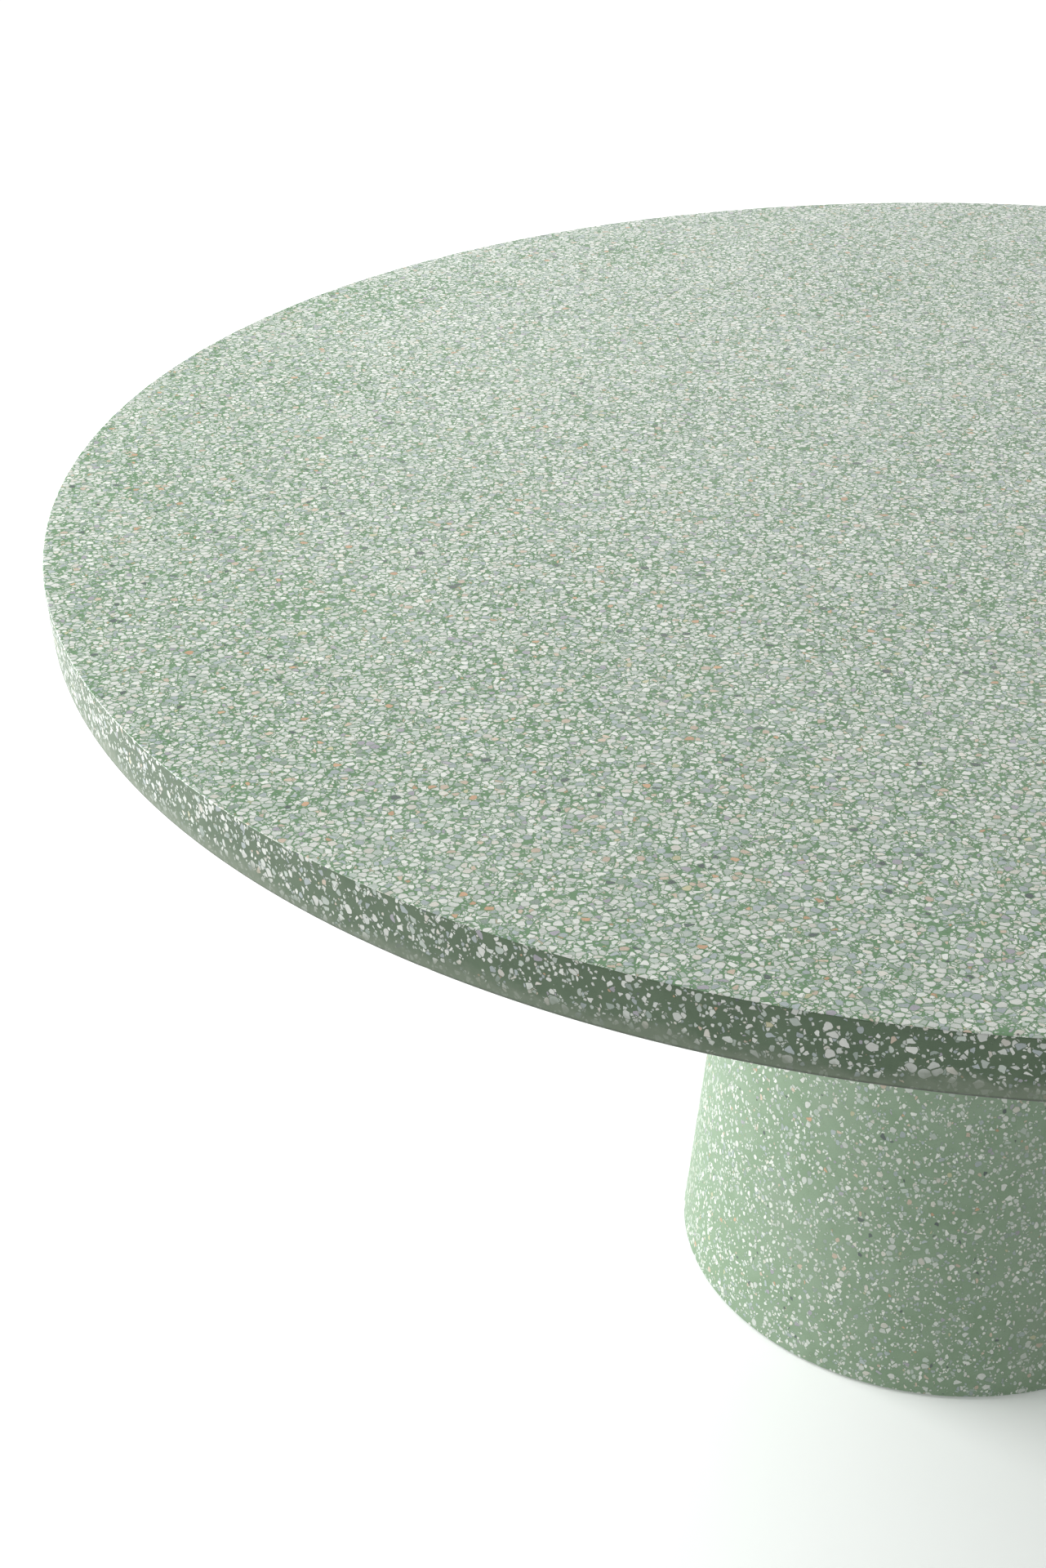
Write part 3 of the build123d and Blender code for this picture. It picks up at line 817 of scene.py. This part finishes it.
def hex_bolt(name, flats, seat, head, radius, end, pitch, material, pivot=None):
    """A hexagon-headed bolt along the axis, head down, with chamfered corners and a thread."""
    corner = flats / 2 / cos(tau / 12)
    low = seat - head
    groove = thread(pitch, 0.58 * pitch, seat + 2 * pitch, end - 0.2 * pitch)
    relief_of_head = hexagon(flats)

    def relief(radius_here, height, turn):
        if height <= seat + 1e-6 and radius_here > radius * 1.05:
            return relief_of_head(radius_here, height, turn)
        if height > seat + 1e-6:
            return radius_here - groove(height, turn)
        return radius_here

    flat = 0.47 * flats
    fall = (corner - flat) * 0.577
    crown = [(flat + (corner - flat) * k / 5, low + fall * k / 5) for k in range(6)]
    shoulder = [(corner, seat - fall * 0.8), (flat, seat), (radius, seat)]
    shank = climb(seat + 0.02 * MM, end - 0.9 * MM, radius, pitch)
    tip = [(radius - 0.9 * MM, end), (0, end)]
    if pivot:
        start = [(0, pivot[1]), (pivot[0] - 0.6 * MM, pivot[1]), (pivot[0], pivot[1] + 0.6 * MM),
                 (pivot[0], low), (flat * 0.96, low)]
    else:
        start = [(0, low + 0.5 * MM), (flat * 0.55, low + 0.5 * MM), (flat * 0.62, low)]
    outline = start + crown + shoulder + shank + tip
    return turned(name, [(outline, material, None)], 48, relief, 28)


def washer(name, inner, outer, low, high, material):
    """A stamped washer: one edge rounded over by the punch, the other sharp."""
    bend = 0.45 * MM
    outline = [(inner, low), (outer - bend, low)]
    outline += arc((outer - bend, low + bend), bend, -70, 0, 4)
    outline += [(outer, high - 0.1 * MM), (outer - 0.1 * MM, high), (inner, high)]
    mesh = bpy.data.meshes.new(name)
    segments = 64
    vertices = [
        (radius * cos(tau * step / segments), radius * sin(tau * step / segments), height)
        for radius, height in outline
        for step in range(segments)
    ]
    rows = len(outline)
    faces = []
    for row in range(rows):
        for step in range(segments):
            here, past = row * segments, (row + 1) % rows * segments
            other = (step + 1) % segments
            faces.append((here + step, here + other, past + other, past + step))
    mesh.from_pydata(vertices, [], faces)
    mesh.materials.append(material)
    mesh.polygons.foreach_set("use_smooth", [True] * len(faces))
    mesh.set_sharp_from_angle(angle=radians(35))
    piece = bpy.data.objects.new(name, mesh)
    bpy.context.scene.collection.objects.link(piece)
    return piece


def ring_tree():
    """Copies of a piece on a circle about the table's axis, each given a spin of its own."""
    tree = bpy.data.node_groups.new("pieces_on_a_circle", "GeometryNodeTree")
    inputs = {}
    for name, kind, value in (
        ("Piece", "NodeSocketObject", None),
        ("Finish", "NodeSocketMaterial", None),
        ("Count", "NodeSocketInt", 8),
        ("Circle Radius", "NodeSocketFloat", 0.2),
        ("First Turn", "NodeSocketFloat", 0.0),
        ("Most Spin", "NodeSocketFloat", 0.5),
        ("Seed", "NodeSocketInt", 1),
    ):
        made = tree.interface.new_socket(name, in_out="INPUT", socket_type=kind)
        if value is not None:
            made.default_value = value
        inputs[name] = made.identifier
    tree.interface.new_socket("Geometry", in_out="OUTPUT", socket_type="NodeSocketGeometry")
    given = tree.nodes.new("NodeGroupInput").outputs
    result = tree.nodes.new("NodeGroupOutput")

    def node(kind, settings=None, sockets=None):
        made = tree.nodes.new(kind)
        for name, setting in (settings or {}).items():
            setattr(made, name, setting)
        for name, value in (sockets or {}).items():
            if isinstance(value, bpy.types.NodeSocket):
                tree.links.new(value, made.inputs[name])
            else:
                made.inputs[name].default_value = value
        return made

    def maths(operation, first, second, third=0.0):
        settings = {"operation": operation}
        return node("ShaderNodeMath", settings, {0: first, 1: second, 2: third}).outputs[0]

    index = node("GeometryNodeInputIndex").outputs[0]
    share = maths("DIVIDE", index, given["Count"])
    turn = maths("MULTIPLY_ADD", share, tau, given["First Turn"])
    east = maths("MULTIPLY", maths("COSINE", turn, 0.0), given["Circle Radius"])
    north = maths("MULTIPLY", maths("SINE", turn, 0.0), given["Circle Radius"])
    place = node("ShaderNodeCombineXYZ", None, {0: east, 1: north}).outputs[0]
    points = node("GeometryNodePoints", None, {"Count": given["Count"], "Position": place})
    spin = node(
        "FunctionNodeRandomValue",
        {"data_type": "FLOAT"},
        {2: 0.0, 3: given["Most Spin"], "ID": index, "Seed": given["Seed"]},
    ).outputs[1]
    facing = node("ShaderNodeCombineXYZ", None, {2: maths("ADD", turn, spin)}).outputs[0]
    shown = node("GeometryNodeObjectInfo", None, {"Object": given["Piece"]})
    copies = node(
        "GeometryNodeInstanceOnPoints",
        None,
        {"Points": points.outputs[0], "Instance": shown.outputs["Geometry"], "Rotation": facing},
    )
    real = node("GeometryNodeRealizeInstances", None, {0: copies.outputs[0]})
    coated = node(
        "GeometryNodeSetMaterial", None, {"Geometry": real.outputs[0], "Material": given["Finish"]}
    )
    tree.links.new(coated.outputs[0], result.inputs[0])
    return tree, inputs


def on_circle(name, piece, finish, **values):
    """Runs the tree above on one piece, and keeps the plain mesh that comes out."""
    tree, inputs = ring_tree()
    holder = bpy.data.objects.new(name, bpy.data.meshes.new(name))
    bpy.context.scene.collection.objects.link(holder)
    copies = holder.modifiers.new("copies", "NODES")
    copies.node_group = tree
    copies[inputs["Piece"]] = piece
    copies[inputs["Finish"]] = finish
    for key, value in values.items():
        copies[inputs[key.replace("_", " ").title()]] = value
    graph = bpy.context.evaluated_depsgraph_get()
    mesh = bpy.data.meshes.new_from_object(holder.evaluated_get(graph))
    mesh.name = name
    holder.modifiers.clear()
    holder.data = mesh
    bpy.data.objects.remove(piece)
    return holder


def make_top_fixings(zinc):
    """Eight hexagon bolts and their washers, which hold the plate to the slab."""
    washer_low, washer_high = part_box("top_washers")
    bolt_low, bolt_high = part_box("top_bolts")
    seat = washer_low.z
    layout = dict(
        count=TOP_BOLT_COUNT,
        circle_radius=TOP_BOLT_CIRCLE,
        first_turn=radians(TOP_BOLT_START),
        most_spin=radians(FIXING_SPIN),
    )
    bolt = hex_bolt("bolt", TOP_BOLT_FLATS, seat, seat - bolt_low.z, TOP_BOLT_RADIUS,
                    bolt_high.z, TOP_BOLT_PITCH, zinc)
    bolts = on_circle("top_bolts_hexagon", bolt, zinc, **layout, seed=4)
    finished(bolts, "table", "zinc_steel", "top_bolts")
    ring = washer("washer", WASHER_INNER, WASHER_OUTER, washer_low.z, washer_high.z, zinc)
    rings = on_circle("top_washers_stamped", ring, zinc, **layout, seed=9)
    finished(rings, "table", "zinc_steel", "top_washers")


def moved_copy(piece, name, place):
    """A copy of a piece that is modelled on the axis, at its own place."""
    mesh = piece.data.copy()
    mesh.name = name
    mesh.transform(Matrix.Translation((*place, 0)))
    copy = bpy.data.objects.new(name, mesh)
    bpy.context.scene.collection.objects.link(copy)
    return copy


def make_feet(zinc, bright, rubber):
    """Six levelling feet: a ribbed rubber sole, a turned steel pad and a threaded foot screw."""
    sole_low, sole_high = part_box("foot_1_sole")
    pad_low, pad_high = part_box("foot_1_pad")
    screw_low, screw_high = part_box("foot_1_screw")
    sole_radius = (sole_high.x - sole_low.x) / 2
    pad_radius = (pad_high.x - pad_low.x) / 2

    def ribbed(radius, height, turn):
        if height < sole_low.z + 0.9 * MM and radius > sole_radius * 0.93:
            tooth = abs((turn / tau * 24) % 1.0 - 0.5) * 2
            return radius - 0.9 * MM * min(1.0, max(0.0, tooth * 3 - 1.6))
        return radius

    low, high = sole_low.z, sole_high.z
    treads = [(0, low)]
    for radius in TREAD_RADII:
        treads += [(radius, low), (radius + 0.25 * MM, low + TREAD_DEPTH),
                   (radius + 0.95 * MM, low + TREAD_DEPTH), (radius + 1.2 * MM, low)]
    treads += [(sole_radius - 0.4 * MM, low), (sole_radius, low + 0.4 * MM),
               (sole_radius, low + 1.0 * MM), (sole_radius, high), (0, high)]
    sole = turned("sole", [(treads, rubber, None)], 192, ribbed, 40)

    low, high = pad_low.z, pad_high.z
    recess = high - 3.5 * MM
    rolled = arc((pad_radius - 1.5 * MM, high - 1.5 * MM), 1.5 * MM, 0, 90, 6)
    outline = [
        (0, sole_high.z),
        (sole_radius + 0.05 * MM, sole_high.z),
        (sole_radius + 0.05 * MM, low),
        (pad_radius - 0.4 * MM, low),
        (pad_radius, low + 0.4 * MM),
        *rolled,
        (14.6 * MM, high),
        (14.2 * MM, high - 0.25 * MM),
        (13.4 * MM, high - 0.25 * MM),
        (13.0 * MM, high),
        (5.6 * MM, high),
        (5.05 * MM, high - 0.5 * MM),
        (5.05 * MM, recess),
        (0, recess),
    ]
    pad = turned("pad", [(outline, bright, None)], 128, None, 28)

    seat = FOOT_HEX_TOP
    screw = hex_bolt("screw", FOOT_SCREW_FLATS, seat, seat - FOOT_HEX_LOW, FOOT_SCREW_RADIUS,
                     screw_high.z, FOOT_SCREW_PITCH, zinc, (FOOT_PIVOT_RADIUS, screw_low.z))
    for index, place in enumerate(round_places(FOOT_CIRCLE, FOOT_COUNT, 0)):
        number = index + 1
        body = f"foot_{number}"
        finished(moved_copy(sole, f"{body}_ribbed_sole", place), body, "foot_rubber",
                 f"{body}_sole")
        finished(moved_copy(pad, f"{body}_turned_pad", place), body, "foot_steel", f"{body}_pad")
        finished(moved_copy(screw, f"{body}_threaded_screw", place), f"{body}_screw",
                 "zinc_steel", f"{body}_screw")
    for piece in (sole, pad, screw):
        bpy.data.objects.remove(piece)


def coat(material, *nodes):
    """Gives CAD nodes their finish."""
    for node in nodes:
        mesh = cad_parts[node].data
        mesh.materials.clear()
        mesh.materials.append(material)


def make_object():
    zinc = plated_steel("zinc_plate", (0.66, 0.67, 0.68), (0.47, 0.48, 0.50))
    bright = plated_steel("turned_steel", (0.58, 0.59, 0.60), (0.40, 0.41, 0.42), 0.36)
    blackened = plated_steel("blackened_steel", (0.12, 0.12, 0.13), (0.05, 0.05, 0.055), 0.42)
    make_slab()
    make_pedestal()
    make_top_fixings(zinc)
    make_feet(zinc, bright, black_rubber("sole_rubber", (0.03, 0.03, 0.031)))
    coat(scaled_steel(), "top_mesh", "pedestal_cage")
    coat(zinc, "top_sockets", "head_sockets", "foot_sockets")
    coat(powder_coat(), "mounting_plate")
    coat(blackened, "plate_screws")
    coat(black_rubber("sheet_rubber"), "bedding_pad", "head_gasket")


# ---- Room ------------------------------------------------------------------------------


def make_floor():
    """A wide pale floor, which glows more towards its rim."""
    finish = Finish("pale_floor")
    dapple = finish.noise(finish.place, 0.9, 3.0, 0.5)[0]
    colour = finish.mix((0.83, 0.84, 0.84), (0.87, 0.87, 0.87), dapple)
    away = finish.length(finish.place)
    glow = finish.mix((NEAR_GLOW,) * 3, (FAR_GLOW,) * 3, finish.ease(away, *GLOW_RANGE))
    finish.done(colour, 0.85, **{"Emission Color": glow, "Emission Strength": 1.0})
    mesh = bpy.data.meshes.new("floor")
    shape = bmesh.new()
    bmesh.ops.create_circle(shape, cap_ends=True, segments=96, radius=FLOOR_RADIUS)
    shape.to_mesh(mesh)
    shape.free()
    mesh.materials.append(finish.material)
    floor = bpy.data.objects.new("floor", mesh)
    bpy.context.scene.collection.objects.link(floor)


def add_light(name, place, aim, size, power):
    """A square soft light that points at a place."""
    light = bpy.data.lights.new(name, "AREA")
    light.shape = "SQUARE"
    light.size = size
    light.energy = power
    lamp = bpy.data.objects.new(name, light)
    lamp.location = place
    lamp.rotation_euler = (Vector(aim) - Vector(place)).to_track_quat("-Z", "Y").to_euler()
    bpy.context.scene.collection.objects.link(lamp)


def light_room():
    """Soft air that is brightest towards the window, the window, and a pale wall behind. The
    air itself looks evenly pale."""
    air = Finish("air", bpy.data.worlds)
    towards = Vector(WINDOW_PLACE).normalized()
    around = air.node("ShaderNodeTexCoord")["Generated"]
    settings = {"operation": "DOT_PRODUCT"}
    side = air.node("ShaderNodeVectorMath", settings, {0: around, 1: towards})["Value"]
    shining = air.spread(side, -0.8, 1.0, *AIR_STRENGTHS)
    seen = air.node("ShaderNodeLightPath")["Is Camera Ray"]
    strength = shining + seen * (SEEN_AIR - shining)
    light = air.node("ShaderNodeBackground", None, {"Color": (1, 1, 1, 1), "Strength": strength})
    air.node("ShaderNodeOutputWorld", None, {"Surface": light[0]})
    bpy.context.scene.world = air.material
    add_light("window", WINDOW_PLACE, WINDOW_AIM, WINDOW_SIZE, WINDOW_POWER)
    add_light("back_wall", BACK_PLACE, BACK_AIM, BACK_SIZE, BACK_POWER)
    bpy.context.scene.view_settings.view_transform = "Standard"


FLOOR_RADIUS = 15
NEAR_GLOW = 0.18
FAR_GLOW = 0.7
GLOW_RANGE = (1.2, 3.5)  # metres from the table's axis
AIR_STRENGTHS = (0.25, 0.48)  # away from the window and towards it
SEEN_AIR = 0.93  # how bright the air itself looks
WINDOW_PLACE = (-2.9, 0.9, 1.95)
WINDOW_AIM = (0, 0, 0.6)
WINDOW_SIZE = 2.4
WINDOW_POWER = 165
BACK_PLACE = (0.6, 4.6, 2.0)
BACK_AIM = (0, 0, 0.7)
BACK_SIZE = 3.2
BACK_POWER = 29

make_object()
make_floor()
light_room()
add_camera()
